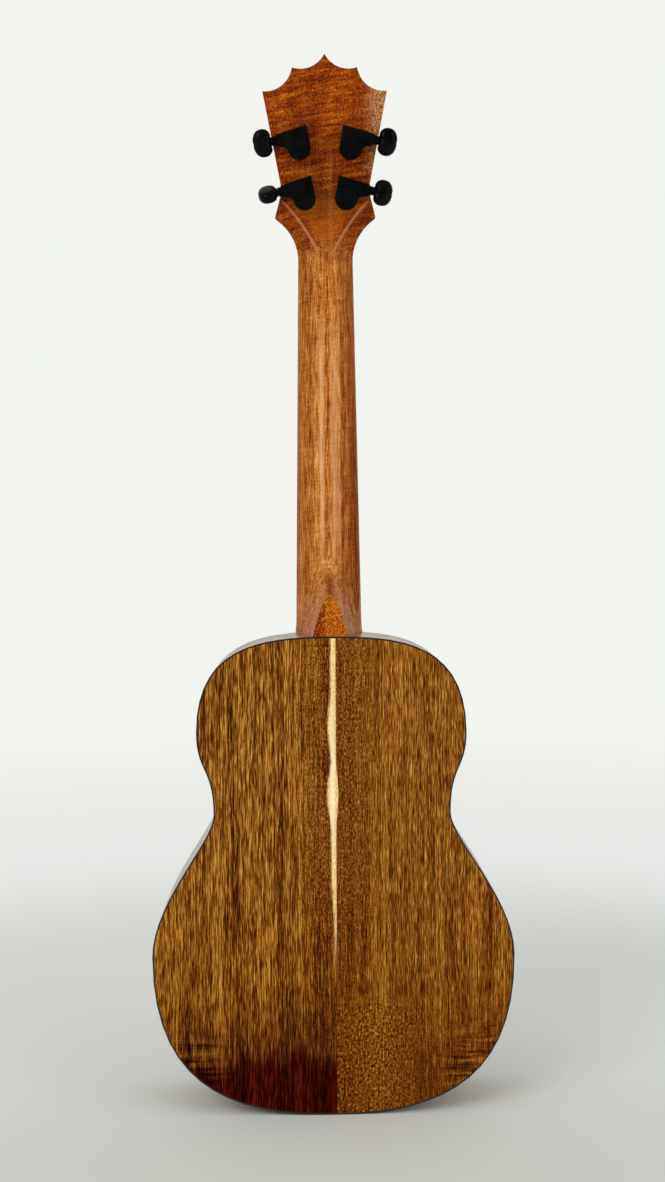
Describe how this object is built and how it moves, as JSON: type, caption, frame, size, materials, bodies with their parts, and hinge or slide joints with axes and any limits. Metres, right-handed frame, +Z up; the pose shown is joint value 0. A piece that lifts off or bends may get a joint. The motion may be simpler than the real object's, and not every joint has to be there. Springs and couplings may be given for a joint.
{
  "type": "ukulele",
  "caption": "Tenor ukulele with a waisted wooden body, bolted neck, slanted crown-shaped head, nylon strings and sealed worm tuners whose knobs turn the string posts.",
  "frame": {"origin": "on the neck's centreline at the nut, on the glue face of the fretboard, where a wall hanger's yoke holds the neck under the head", "axes": "+Z up the neck to the head, -Y out of the soundboard, +Y out of the back, +X to the right in the front view"},
  "size_m": [0.226, 0.0841, 0.6676],
  "materials": {
    "koa_back": "gloss",
    "koa_sides": "gloss",
    "koa_top": "gloss",
    "black_binding": "gloss",
    "spruce": "sanded",
    "inner_mahogany": "sanded",
    "neck_koa": "satin",
    "dark_fretwood": "oiled",
    "bone": "polished",
    "shell_dots": "polished",
    "fretwire": "polished",
    "steel": "brushed",
    "brass": "turned",
    "nylon": "smooth",
    "black_tuner": "satin black",
    "black_knob": "satin black",
    "black_shaft": "black plated"
  },
  "bodies": {
    "instrument": {"back_plate_left": "koa_back", "back_plate_right": "koa_back", "back_binding": "black_binding", "back_seam_strip": "spruce", "back_braces": "spruce", "back_linings": "inner_mahogany", "front_linings": "inner_mahogany", "side_left": "koa_sides", "side_right": "koa_sides", "end_graft": "black_binding", "neck_block": "inner_mahogany", "tail_block": "inner_mahogany", "soundboard_left": "koa_top", "soundboard_right": "koa_top", "front_binding": "black_binding", "rosette": "black_binding", "soundboard_braces": "spruce", "bridge_patch": "inner_mahogany", "bridge": "dark_fretwood", "saddle": "bone", "neck": "neck_koa", "headplate": "dark_fretwood", "fretboard": "dark_fretwood", "frets": "fretwire", "fret_markers": "shell_dots", "nut": "bone", "neck_bolt": "steel", "neck_insert": "brass", "strings": "nylon", "tuner_covers": "black_tuner", "tuner_bushings": "black_tuner", "tuner_pins": "steel", "tuner_housing_g": "black_tuner", "tuner_housing_c": "black_tuner", "tuner_housing_e": "black_tuner", "tuner_housing_a": "black_tuner"},
    "knob_g_body": {"worm_shaft_g": "black_shaft", "knob_g": "black_knob", "knob_screw_g": "steel"},
    "post_g_body": {"post_g": "black_shaft", "worm_wheel_g": "brass", "string_winding_g": "nylon"},
    "knob_c_body": {"worm_shaft_c": "black_shaft", "knob_c": "black_knob", "knob_screw_c": "steel"},
    "post_c_body": {"post_c": "black_shaft", "worm_wheel_c": "brass", "string_winding_c": "nylon"},
    "knob_e_body": {"worm_shaft_e": "black_shaft", "knob_e": "black_knob", "knob_screw_e": "steel"},
    "post_e_body": {"post_e": "black_shaft", "worm_wheel_e": "brass", "string_winding_e": "nylon"},
    "knob_a_body": {"worm_shaft_a": "black_shaft", "knob_a": "black_knob", "knob_screw_a": "steel"},
    "post_a_body": {"post_a": "black_shaft", "worm_wheel_a": "brass", "string_winding_a": "nylon"}
  },
  "joints": [
    {"name": "knob_g_turn", "type": "hinge", "parent": "instrument", "child": "knob_g_body", "pos_m": [-0.01477, 0.02774, 0.04651], "axis": [-0.9833, -0.0379, -0.1783], "continuous": true},
    {"name": "post_g_turn", "type": "hinge", "parent": "instrument", "child": "post_g_body", "pos_m": [-0.0134, 0.00811, 0.04315], "axis": [0, -0.9781, 0.2079], "continuous": true},
    {"name": "knob_c_turn", "type": "hinge", "parent": "instrument", "child": "knob_c_body", "pos_m": [-0.01754, 0.03419, 0.07686], "axis": [-0.9863, -0.0343, -0.1614], "continuous": true},
    {"name": "post_c_turn", "type": "hinge", "parent": "instrument", "child": "post_c_body", "pos_m": [-0.0163, 0.01455, 0.07347], "axis": [0, -0.9781, 0.2079], "continuous": true},
    {"name": "knob_e_turn", "type": "hinge", "parent": "instrument", "child": "knob_e_body", "pos_m": [0.01767, 0.03418, 0.07684], "axis": [0.9833, -0.0379, -0.1783], "continuous": true},
    {"name": "post_e_turn", "type": "hinge", "parent": "instrument", "child": "post_e_body", "pos_m": [0.0163, 0.01455, 0.07347], "axis": [0, -0.9781, 0.2079], "continuous": true},
    {"name": "knob_a_turn", "type": "hinge", "parent": "instrument", "child": "knob_a_body", "pos_m": [0.01496, 0.02773, 0.04648], "axis": [0.9781, -0.0432, -0.2034], "continuous": true},
    {"name": "post_a_turn", "type": "hinge", "parent": "instrument", "child": "post_a_body", "pos_m": [0.0134, 0.00811, 0.04315], "axis": [0, -0.9781, 0.2079], "continuous": true}
  ],
  "couplings": [
    {"joint": "post_g_turn", "follows": "knob_g_turn", "ratio": -0.071429},
    {"joint": "post_c_turn", "follows": "knob_c_turn", "ratio": -0.071429},
    {"joint": "post_e_turn", "follows": "knob_e_turn", "ratio": 0.071429},
    {"joint": "post_a_turn", "follows": "knob_a_turn", "ratio": 0.071429}
  ]
}
